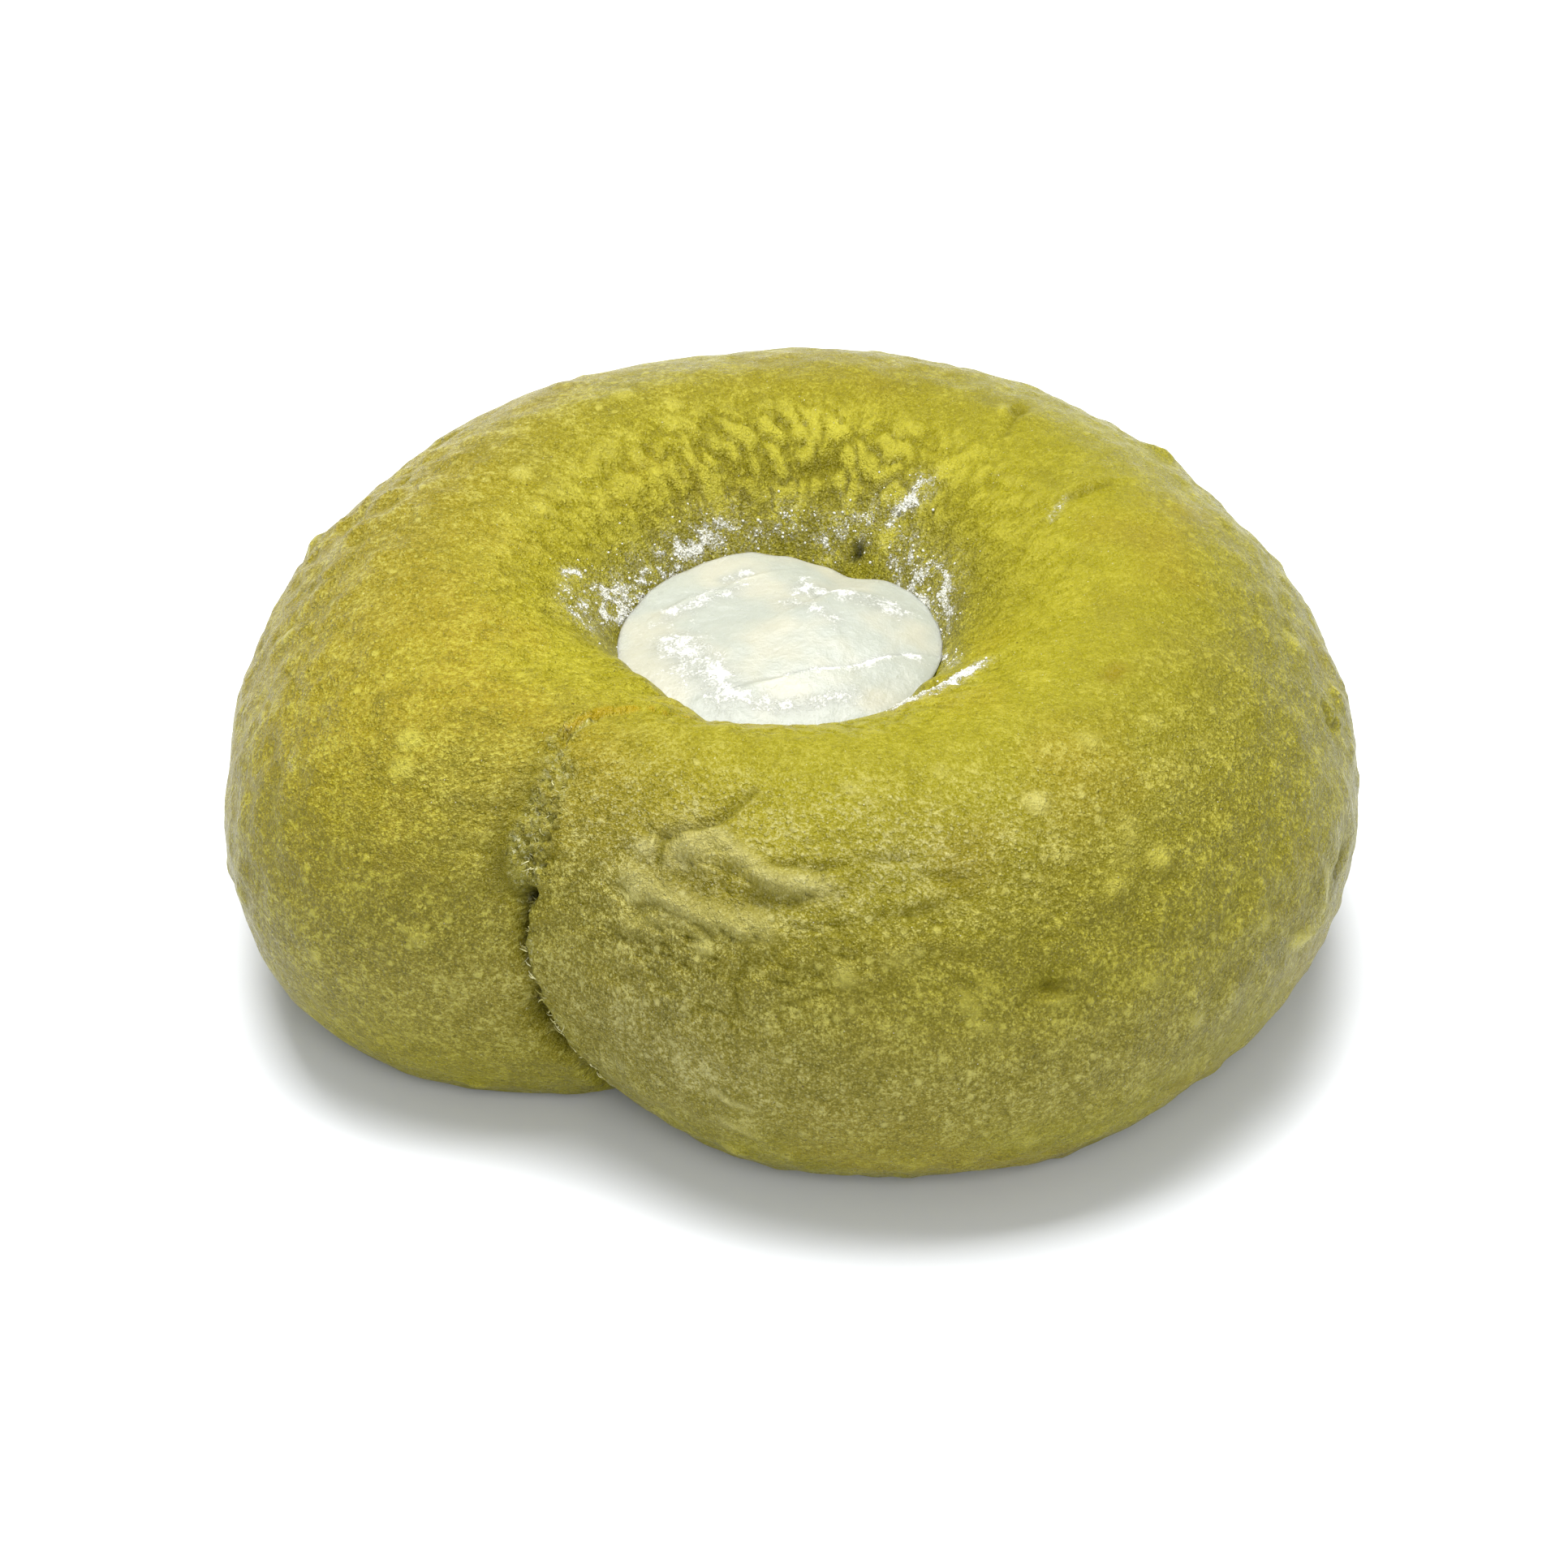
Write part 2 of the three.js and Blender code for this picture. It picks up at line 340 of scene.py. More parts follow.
def skinLift(place, spot, ring, around, calm):
    # lumps and blisters in mm, with two shares for colour: pale for the blisters and as painted highlight on
    # the hole wall's pleat ridges, and olive as painted shade in the grooves
    lift = dough["bigLumps"] * noise.fractal(spot / 19, 1.0, 2.0, 2)
    rough = (0.7 + 0.6 * noise.noise(spot / 23 + Vector((7, 3, 1)))) * (1 - 0.7 * calm)
    lift += dough["smallLumps"] * rough * noise.noise(place / 2.4)
    front = smooth(75, 55, around) * smooth(0, 30, around)
    grooveShade = 0.0
    if front > 0:
        wave = abs(noise.noise(Vector((ring * 0.16, around / 5.5, 4)) + 0.1 * spot))
        strong = front * max(0.0, rough) * (0.35 + bell(turnFrom(268, ring), 20))
        lift += dough["ripples"] * strong * (smooth(0, 0.24, wave) - 0.6)
        # painted shade in the ripples' grooves
        grooveShade = 0.8 * strong * smooth(0.1, 0, wave)
    distances, centres = noise.voronoi(place / 4.2)
    size = noise.cell(centres[0] * 37)
    blisterAndHighlight = smooth(0.45, 0.9, size) * smooth(0.36, 0.12, distances[0]) * (1 - calm)
    lift += dough["blisters"] * blisterAndHighlight
    inHole = smooth(94, 108, around) * smooth(140, 122, around)
    if inHole > 0:
        turn = math.radians(ring)
        wall = Vector((math.cos(turn) * 13, math.sin(turn) * 13, around / 6.5))
        pleat = abs(noise.noise(wall + 0.12 * spot))
        back = inHole * (0.25 + 0.75 * bell(turnFrom(88, ring), 50))
        lift += dough["wrinkles"] * back * (smooth(0, 0.22, pleat) - 0.6)
        # painted shade in the pleats' grooves, and painted highlight on their ridges
        grooveShade = 0.8 * back * smooth(0.12, 0.02, pleat)
        blisterAndHighlight = max(blisterAndHighlight, 0.9 * back * smooth(0.14, 0.32, pleat))
    return lift, blisterAndHighlight, grooveShade


def seamShape(ring, around, spot):
    # The lift, the slide along the ring and four shares for colour: torn, rim, deep and olive; the last two
    # are painted shade in the pit, slot and crack and beside the torn band
    middle, valley, slot, overhang, half, lip = seamAt(around)
    centre, halfWidth = ropeAt(ring)
    turn = math.radians(turnFrom(middle, ring))
    away = turn * centre
    if abs(away) > 60:
        return 0.0, 0.0, (0.0, 0.0, 0.0, 0.0)
    width = seam["valleyLeft"] if away < 0 else seam["valleyRight"]
    lift = -valley * math.exp(-abs(away) / width)
    off = turn * (centre + halfWidth * math.cos(math.radians(around)))
    if abs(off) > 12:
        return lift, 0.0, (0.0, 0.0, 0.0, 0.0)
    ragged = noise.fractal(spot * 0.9, 0.8, 2.0, 3)
    off += 0.3 * ragged
    downward = smooth(2, -6, around)
    gap = bell(off + mix(0.1, 1.5, downward), mix(0.6, 0.85, downward))
    lift -= slot * gap
    slide = 0.0
    if off > 0:
        slide = -overhang * math.exp(-off / 1.1) * smooth(0.0, 0.6, off)
        lift += 0.5 * overhang * math.exp(-off / 2.4) * smooth(0.0, 0.5, off)
    else:
        lift -= 0.6 * overhang * math.exp(off / 2.2)
    reach = smooth(14, 30, around) * smooth(106, 92, around)
    torn = smooth(-half - 0.3, -half + 0.3, off) * smooth(half + 0.9, half - 0.5, off) * reach
    lift -= torn * (seam["bandDepth"] + 0.75 * noise.fractal(spot * 1.3, 0.6, 2.0, 3))
    lift -= 0.55 * bell(off + half + 1.1, 1.0) * smooth(26, 38, around) * smooth(82, 66, around)
    lipRise = math.exp(off / 1.5) * smooth(0.25, -0.25, off)
    lipFall = 0.9 * math.exp(-off / 2) * smooth(-0.25, 0.25, off)
    lift += lip * (lipRise - lipFall)
    fromPit = math.hypot(off, (around - seam["pitRound"]) * 0.36)
    lift -= seam["pitDepth"] * bell(fromPit, seam["pitSize"])
    onLip = smooth(82, 90, around) * smooth(120, 108, around)
    rim = smooth(-0.8, -0.3, off) * smooth(0.25, -0.05, off) * onLip
    low = smooth(0, -5, around)
    # painted shade, near black, in the pit and along the slot
    deep = bell(fromPit, 0.55) + 0.45 * slot * bell(off + 0.1, 0.3) * (1 - low)
    deep += 0.4 * low * smooth(0.5, 0.9, gap)
    # olive painted shade in the open crack low down, in the slot higher up and on the torn band's left side
    lowCrackShade = low * smooth(0.15, 0.5, gap) * smooth(1.2, 2.2, slot)
    highCrackShade = 0.6 * slot * gap * (1 - low)
    flankShade = smooth(-half - 2.6, -half - 0.6, off) * smooth(-half + 0.6, -half - 0.2, off)
    flankShade *= mix(1.0, 0.6, smooth(40, 60, around)) * smooth(24, 34, around) * smooth(88, 68, around)
    olive = max(lowCrackShade, highCrackShade, flankShade)
    edge = bell(off - 0.9, 0.6) * smooth(34, 20, around) * smooth(-0.2, 0.3, ragged)
    torn = torn * (0.55 + 0.8 * ragged) + edge
    return lift, slide, tuple(min(1.0, share) for share in (torn, rim, deep, olive))


def starchClumps(spot):
    # starch lies in clumps of a millimetre or two
    return smooth(-0.2, 0.3, noise.fractal(spot * 0.75, 0.8, 2.0, 2))


def doughSurface(ring, around):
    # the finished skin's point, its stretched place and its colour shares
    ring = round(ring, 3)
    around = round(around, 2)
    centre, halfWidth = ropeAt(ring)
    turn = math.radians(ring)
    side = math.radians(around)
    sideways = Vector((math.cos(turn), math.sin(turn), 0))
    forward = Vector((-math.sin(turn), math.cos(turn), 0))
    radius = centre + halfWidth * math.cos(side)
    spot = sideways * radius + Vector((0, 0, centreHeight + halfHeight * math.sin(side)))
    out = sideways * (math.cos(side) * halfHeight) + Vector((0, 0, math.sin(side) * halfWidth))
    place = stretchedPlace(ring, around)
    calm = stainShare("calm", ring, around)
    seamLift, slide, seamShares = seamShape(ring, around, spot)
    skin, blisterAndHighlight, grooveShade = skinLift(place, spot, ring, around, calm)
    markRise, shares = markEffects(ring, around)
    point = spot + out.normalized() * (seamLift + skin + markRise) + forward * slide
    height = point.z
    point.z = 0.5 * (height + math.sqrt(height * height + dough["baseEdge"] ** 2))
    torn, rim, deep, seamShade = seamShares
    # olive: painted shade in dents, grooves and the seam
    olive = max(shares["olive"], 0.8 * grooveShade, seamShade)
    tones = {
        "seamToneAndShade": (torn, max(rim, shares["rim"]), max(deep, shares["deep"]), olive),
        "skinTone": (max(blisterAndHighlight, shares["pale"]), stainShare("warm", ring, around),
                     stainShare("grey", ring, around), stainShare("olive", ring, around)),
        "starchTone": (min(1.0, shares["dust"] * (0.4 + 0.8 * starchClumps(spot))), calm,
                       stainShare("cream", ring, around), 1.0),
    }
    return point, place, tones


def makeDoughRing():
    bm = bmesh.new()
    upright = Matrix.Translation((2, 0, 0)) @ Matrix.Rotation(math.pi / 2, 4, "X")
    bmesh.ops.create_circle(bm, segments=dough["sectionSteps"], radius=1, matrix=upright)
    bmesh.ops.spin(bm, geom=bm.verts[:] + bm.edges[:], cent=(0, 0, 0), axis=(0, 0, 1), dvec=(0, 0, 0),
                   angle=2 * math.pi, steps=dough["ringSteps"], use_merge=True, use_duplicate=False)
    bmesh.ops.remove_doubles(bm, verts=bm.verts, dist=1e-5)
    bmesh.ops.recalc_face_normals(bm, faces=bm.faces)
    seamTurn = math.radians(237)
    upperSide = math.radians(60)
    places = []
    painted = {"seamToneAndShade": [], "skinTone": [], "starchTone": []}
    for vert in bm.verts:
        turn = math.atan2(vert.co.y, vert.co.x)
        away = turn - seamTurn
        turn -= 0.45 * math.sin(away) + 0.12 * math.sin(2 * away)  # draws the steps together at the seam
        side = math.atan2(vert.co.z, math.hypot(vert.co.x, vert.co.y) - 2)
        side -= 0.3 * math.sin(side - upperSide)  # and on the upper side
        vert.co, place, tones = doughSurface(math.degrees(turn) % 360, turnFrom(0, math.degrees(side)))
        places.extend(place)
        for name, values in tones.items():
            painted[name].extend(values)
    mesh = bpy.data.meshes.new("bagel_ring_skin")
    bm.to_mesh(mesh)
    bm.free()
    mesh.attributes.new("grain", "FLOAT_VECTOR", "POINT").data.foreach_set("vector", places)
    for name, values in painted.items():
        mesh.attributes.new(name, "FLOAT_COLOR", "POINT").data.foreach_set("color", values)
    piece = bpy.data.objects.new("bagel_ring_skin", mesh)
    bpy.context.scene.collection.objects.link(piece)
    mesh.shade_smooth()
    return piece


def fitTo(piece, node):
    # the matrix that takes a mesh in mm to its CAD node's box
    low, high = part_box(node)
    coords = [vert.co for vert in piece.data.vertices]
    least = Vector([min(co[k] for co in coords) for k in range(3)])
    most = Vector([max(co[k] for co in coords) for k in range(3)])
    scale = Matrix.Diagonal([(high[k] - low[k]) / (most[k] - least[k]) for k in range(3)]).to_4x4()
    return Matrix.Translation(low) @ scale @ Matrix.Translation(-least)


# the rice cake in the hole

mochi = {
    "turns": 220,
    "rings": 130,
    "topShare": 0.66,  # how much of the sphere's rings become the top
    "domeHeight": 33.0,
    # height of its edge round the hole, as (ring, mm)
    "edge": [(0, 31.0), (30, 31.0), (50, 30.8), (66, 29.8), (78, 30.4), (92, 31.0), (105, 31.5),
             (150, 31.4), (180, 31.2), (240, 31.0), (360, 31.0)],
    "floor": 1.6,
    # dustings of starch on its top, as (x, y) in mm from the hole's axis, with their half width and share
    "dusted": [([(-10.5, -1), (-8.5, -4.5), (-5.5, -9)], 2.6, 0.95),
               ([(-4, -10), (1, -11), (6, -9)], 1.2, 0.8),
               ([(1.5, 7.5), (5, 6.4), (10, 4.2)], 1.8, 0.95),
               ([(0, 4.7), (2, 3), (4, 1.5)], 1.3, 0.7),
               ([(11.9, -2.6), (8.6, -3.8), (6.4, -5.3), (2.8, -6.1), (0.4, -6.8)], 0.8, 1.0),
               ([(-11, 4), (-8, 6), (-5, 8)], 1.5, 0.75),
               ([(-6, 10), (-4, 11)], 1.0, 0.8)],
}

# folds of the rice cake's top, as a path of (x, y) in mm from the hole's axis, like the dough's marks
mochiFolds = [
    dict(path=[(13, -2.0), (8.6, -3.8), (5.5, -5.6), (0.5, -6.8), (-4.5, -8.2)],
         width=0.5, lift=0.12, step=0.45, reach=3.0),
    dict(path=[(-12.5, 4.2), (-10, 6.3), (-7, 7.4), (-4.5, 9.5), (0, 11.5)],
         width=0.5, lift=0.1, step=-0.3, reach=2.5),
    dict(path=[(0, 3), (2.5, 5), (4.5, 7.5), (9, 7)], width=0.7, lift=-0.12, step=-0.3, reach=2.4),
]


def holeRadius(ring, height):
    centre, halfWidth = ropeAt(round(ring, 3))
    rise = min(0.98, abs(height - centreHeight) / halfHeight)
    return centre - halfWidth * math.sqrt(1 - rise * rise)


def mochiTop(x, y):
    ring = math.degrees(math.atan2(y, x)) % 360
    edgeHeight = readOff(mochi["edge"], ring)
    share = math.hypot(x, y) / holeRadius(ring, edgeHeight)
    height = mix(mochi["domeHeight"], edgeHeight, min(1.1, share) ** 2.6)
    height += 0.75 * bell(math.hypot(x - 4.5, (y - 1.5) * 1.2), 7.5)
    height -= 0.35 * bell(math.hypot(x + 5, y - 4), 5)
    height += 0.35 * noise.noise(Vector((x / 5.5, y / 5.5, 3.3)))
    height += 0.1 * noise.noise(Vector((x / 1.9, y / 1.9, 1)))
    for fold in mochiFolds:
        away, side, along = nearestOn(fold["path"], x, y)
        strength = 0.3 + 0.7 * math.sin(math.pi * along)
        height += strength * fold["lift"] * bell(away, fold["width"])
        edge = min(1.0, away / (0.6 * fold["width"]))
        height += strength * fold["step"] * side * edge * math.exp(-away / fold["reach"])
    return height


def starchOnTop(place):
    # how thickly starch lies at a point of the rice cake
    if place.z < 24:
        return 0.0
    thick = 0.0
    for path, width, share in mochi["dusted"]:
        away, _, _ = nearestOn(path, place.x, place.y)
        thick = max(thick, share * bell(away, width))
    return thick


def makeMochi():
    bm = bmesh.new()
    bmesh.ops.create_uvsphere(bm, u_segments=mochi["turns"], v_segments=mochi["rings"], radius=1)
    bmesh.ops.remove_doubles(bm, verts=bm.verts, dist=1e-6)
    for vert in bm.verts:
        turn = math.atan2(vert.co.y, vert.co.x)
        ring = math.degrees(turn) % 360
        polar = math.acos(max(-1.0, min(1.0, vert.co.z))) / math.pi
        edgeHeight = readOff(mochi["edge"], ring)
        edgeRadius = holeRadius(ring, edgeHeight)
        if polar <= mochi["topShare"]:
            radius = polar / mochi["topShare"] * edgeRadius
            height = mochiTop(radius * math.cos(turn), radius * math.sin(turn))
        else:
            down = (polar - mochi["topShare"]) / (1 - mochi["topShare"])
            height = mix(mochiTop(edgeRadius * math.cos(turn), edgeRadius * math.sin(turn)), mochi["floor"],
                         min(1.0, down / 0.7))
            radius = (holeRadius(ring, height) - 0.15) * min(1.0, (1 - down) / 0.3)
        vert.co = Vector((radius * math.cos(turn), radius * math.sin(turn), height))
    bmesh.ops.recalc_face_normals(bm, faces=bm.faces)
    dusting = [starchOnTop(vert.co) for vert in bm.verts]
    mesh = bpy.data.meshes.new("mochi_lump")
    bm.to_mesh(mesh)
    bm.free()
    mesh.attributes.new("dusting", "FLOAT", "POINT").data.foreach_set("value", dusting)
    mesh.shade_smooth()
    piece = bpy.data.objects.new("mochi_lump", mesh)
    bpy.context.scene.collection.objects.link(piece)
    return piece


# loose starch and torn threads

starch = {
    "seed": 11,
    "grainsOnDough": 34,  # to each square millimetre of a mark, at a share of 1
    "grainsOnTop": 7,  # and of the rice cake's dustings
    "radius": (0.03, 0.16),
}


def placeAlong(path, share):
    # a point part of the way along a path, counted by its stretches
    step = min(len(path) - 2, int(share * (len(path) - 1)))
    part = share * (len(path) - 1) - step
    return [mix(a, b, part) for a, b in zip(path[step], path[step + 1])]


def addGrain(bm, place, radius):
    squash = Matrix.Diagonal([random.uniform(0.7, 1.3) for _ in range(3)]).to_4x4()
    turn = Matrix.Rotation(random.uniform(0, math.pi), 4, Vector((random.random(), random.random(), 1)))
    matrix = Matrix.Translation(place) @ turn @ squash
    bmesh.ops.create_icosphere(bm, subdivisions=1, radius=radius, matrix=matrix)


def grainRadius():
    least, most = starch["radius"]
    return mix(least, most, random.random() ** 4)


def starchPlaces():
    # every grain's place and radius
    places = []
    for mark in marks:
        if "dust" not in mark:
            continue
        lengthwise = sum(math.dist(a, b) for a, b in zip(mark["flat"], mark["flat"][1:]))
        area = (lengthwise + mark["width"]) * mark["width"]
        for _ in range(round(starch["grainsOnDough"] * area * mark["dust"])):
            ring, around = placeAlong(mark["path"], random.random())
            spread = random.gauss(0, 0.85) * mark["width"]
            turn = random.uniform(0, 2 * math.pi)
            ring += spread * math.cos(turn) / mark["scale"][0]
            around += spread * math.sin(turn) / mark["scale"][1]
            point, _, _ = doughSurface(ring % 360, around)
            if random.random() < 0.15 + 0.85 * starchClumps(point):
                places.append((point, grainRadius()))
    for path, width, share in mochi["dusted"]:
        lengthwise = sum(math.dist(a, b) for a, b in zip(path, path[1:]))
        for _ in range(round(starch["grainsOnTop"] * lengthwise * width * share)):
            x, y = placeAlong(path, random.random())
            x += random.gauss(0, 0.6) * width
            y += random.gauss(0, 0.6) * width
            places.append((Vector((x, y, mochiTop(x, y))), 0.55 * grainRadius()))
    return places


def makeStarchDust():
    random.seed(starch["seed"])
    places = starchPlaces()
    mesh = bpy.data.meshes.new("starch_dust")
    whole = bmesh.new()
    for start in range(0, len(places), 80):
        # a batch at a time, because an operator slows down as its mesh grows
        batch = bmesh.new()
        for place, radius in places[start:start + 80]:
            addGrain(batch, place, radius)
        batch.to_mesh(mesh)
        batch.free()
        whole.from_mesh(mesh)
    whole.to_mesh(mesh)
    whole.free()
    piece = bpy.data.objects.new("starch_dust", mesh)
    bpy.context.scene.collection.objects.link(piece)
    return piece


threads = {
    "seed": 4,
    "sides": 5,
    "cuts": 4,
    # torn edges as (round from, round to, how many, length in mm, side of the slot)
    "edges": [(28, 25, 12, 1.4, 0.0), (24, 14, 8, 0.8, 0.4), (14, 8, 9, 0.8, 0.2), (8, -4, 9, 0.8, 0.5),
              (-4, -14, 7, 0.7, 0.7), (-14, -18, 9, 1.3, 0.2), (-18, -28, 7, 0.7, 0.8),
              (-28, -36, 7, 0.7, 0.4), (92, 60, 12, 0.6, 0.6), (60, 34, 20, 0.8, 0.2)],
    "radius": (0.03, 0.085),
}


def makeThread(place, along, across, lengthwise):
    # a tapered strand that curls over
    bm = bmesh.new()
    radius = random.uniform(*threads["radius"])
    bmesh.ops.create_cone(bm, cap_ends=True, segments=threads["sides"], radius1=radius, radius2=0.3 * radius,
                          depth=lengthwise)
    sideEdges = [edge for edge in bm.edges
                 if abs(edge.verts[0].co.z - edge.verts[1].co.z) > 0.5 * lengthwise]
    bmesh.ops.subdivide_edges(bm, edges=sideEdges, cuts=threads["cuts"], use_grid_fill=False)
    over = along.cross(across).normalized()
    curl = random.uniform(0.2, 0.55) * lengthwise
    wave = random.uniform(-0.25, 0.25) * lengthwise
    for vert in bm.verts:
        share = vert.co.z / lengthwise + 0.5
        sideways = vert.co.x + wave * math.sin(3 * share)
        height = vert.co.y + curl * share * (1 - share)
        vert.co = place + along * (share * lengthwise) + across * sideways + over * height
    bmesh.ops.recalc_face_normals(bm, faces=bm.faces)
    return bm


def makeSeamFibres():
    random.seed(threads["seed"])
    mesh = bpy.data.meshes.new("seam_fibres")
    whole = bmesh.new()
    for first, last, count, lengthwise, offset in threads["edges"]:
        for _ in range(count):
            around = random.uniform(first, last)
            ring = readOff(seam["path"], around)
            centre, halfWidth = ropeAt(ring)
            perMm = math.degrees(1 / (centre + halfWidth * math.cos(math.radians(around))))
            ring += (offset + random.gauss(0, 0.3)) * perMm
            point, _, _ = doughSurface(ring, around)
            upward = doughSurface(ring, around + 2)[0] - point
            sideways = doughSurface(ring + 2 * perMm, around)[0] - point
            outward = sideways.cross(upward).normalized()
            sideways = sideways.normalized() * random.choice((-1, -1, -1, 0.6))
            along = (random.uniform(-1.5, 1.5) * upward.normalized() + sideways).normalized()
            strand = makeThread(point + outward * 0.05, along, outward.cross(along),
                                lengthwise * random.uniform(0.3, 1.5))
            strand.to_mesh(mesh)
            strand.free()
            whole.from_mesh(mesh)
    whole.to_mesh(mesh)
    whole.free()
    mesh.shade_smooth()
    piece = bpy.data.objects.new("seam_fibres", mesh)
    bpy.context.scene.collection.objects.link(piece)
    return piece


# materials

def tint(red, green, blue):
    # a colour from 0 to 255 a channel, as a screen shows it
    channels = [value / 255 for value in (red, green, blue)]
    return [*[c / 12.92 if c <= 0.04045 else ((c + 0.055) / 1.055) ** 2.4 for c in channels], 1.0]


class Nodes:
    # short ways to add and join a material's nodes
    def __init__(self, name):
        self.material = bpy.data.materials.new(name)
        self.material.use_nodes = True
        self.tree = self.material.node_tree
        self.surface = self.tree.nodes["Principled BSDF"]

    def join(self, value, socket):
        if isinstance(value, bpy.types.NodeSocket):
            self.tree.links.new(value, socket)
        else:
            socket.default_value = value

    def add(self, kind, inputs, **settings):
        node = self.tree.nodes.new("ShaderNode" + kind)
        for key, value in settings.items():
            setattr(node, key, value)
        for key, value in inputs.items():
            self.join(value, node.inputs[key])
        return node

    def math(self, operation, first, second=0.0):
        node = self.add("Math", {0: first, 1: second}, operation=operation)
        return node.outputs[0]

    def spot(self):
        # a point of the piece, in mm
        place = self.add("TexCoord", {}).outputs["Object"]
        return self.add("Mapping", {"Vector": place, "Scale": (1000, 1000, 1000)}).outputs["Vector"]

    def noise(self, vector, scale, detail=3.0, roughness=0.55, distortion=0.0):
        inputs = {"Vector": vector, "Scale": scale, "Detail": detail, "Roughness": roughness,
                  "Distortion": distortion}
        return self.add("TexNoise", inputs).outputs["Fac"]

    def cells(self, vector, scale):
        return self.add("TexVoronoi", {"Vector": vector, "Scale": scale}, feature="F1").outputs["Distance"]

    def blobs(self, vector, scale, radius, sparse):
        # round spots of unlike strength, with the rarer half left out as sparse goes to 1
        cells = self.add("TexVoronoi", {"Vector": vector, "Scale": scale}, feature="F1")
        chance = self.add("SeparateColor", {"Color": cells.outputs["Color"]}).outputs[0]
        spot = self.ramp(cells.outputs["Distance"], 0.4 * radius, radius, 1.0, 0.0)
        return self.math("MULTIPLY", spot, self.ramp(chance, sparse, 1.0))

    def ramp(self, value, low, high, start=0.0, end=1.0):
        inputs = {"Value": value, "From Min": low, "From Max": high, "To Min": start, "To Max": end}
        node = self.add("MapRange", inputs, interpolation_type="SMOOTHSTEP")
        return node.outputs["Result"]

    def colour(self, share, first, second):
        node = self.add("Mix", {0: share}, data_type="RGBA")
        self.join(first, node.inputs[6])
        self.join(second, node.inputs[7])
        return node.outputs[2]

    def attribute(self, name):
        return self.add("Attribute", {}, attribute_name=name)

    def tones(self, name):
        # the four shares of a painted attribute
        node = self.attribute(name)
        split = self.add("SeparateColor", {"Color": node.outputs["Color"]})
        return *split.outputs, node.outputs["Alpha"]

    def clamped(self, value, most):
        return self.math("MINIMUM", value, most)


crustLook = {
    "green": tint(134, 127, 0),
    "warm": tint(141, 121, 12),
    "olive": tint(97, 90, 0),
    "pale": tint(173, 165, 50),
    "cream": tint(180, 173, 112),
    "grey": tint(122, 113, 28),
    "torn": tint(132, 127, 52),
    "fleck": tint(184, 181, 132),
    "rim": tint(150, 127, 0),
    # near black painted shade for the pit, slot, slits and small pits
    "deep": tint(30, 30, 0),
    "starch": tint(218, 217, 204),
    "leaf": tint(66, 52, 14),
}


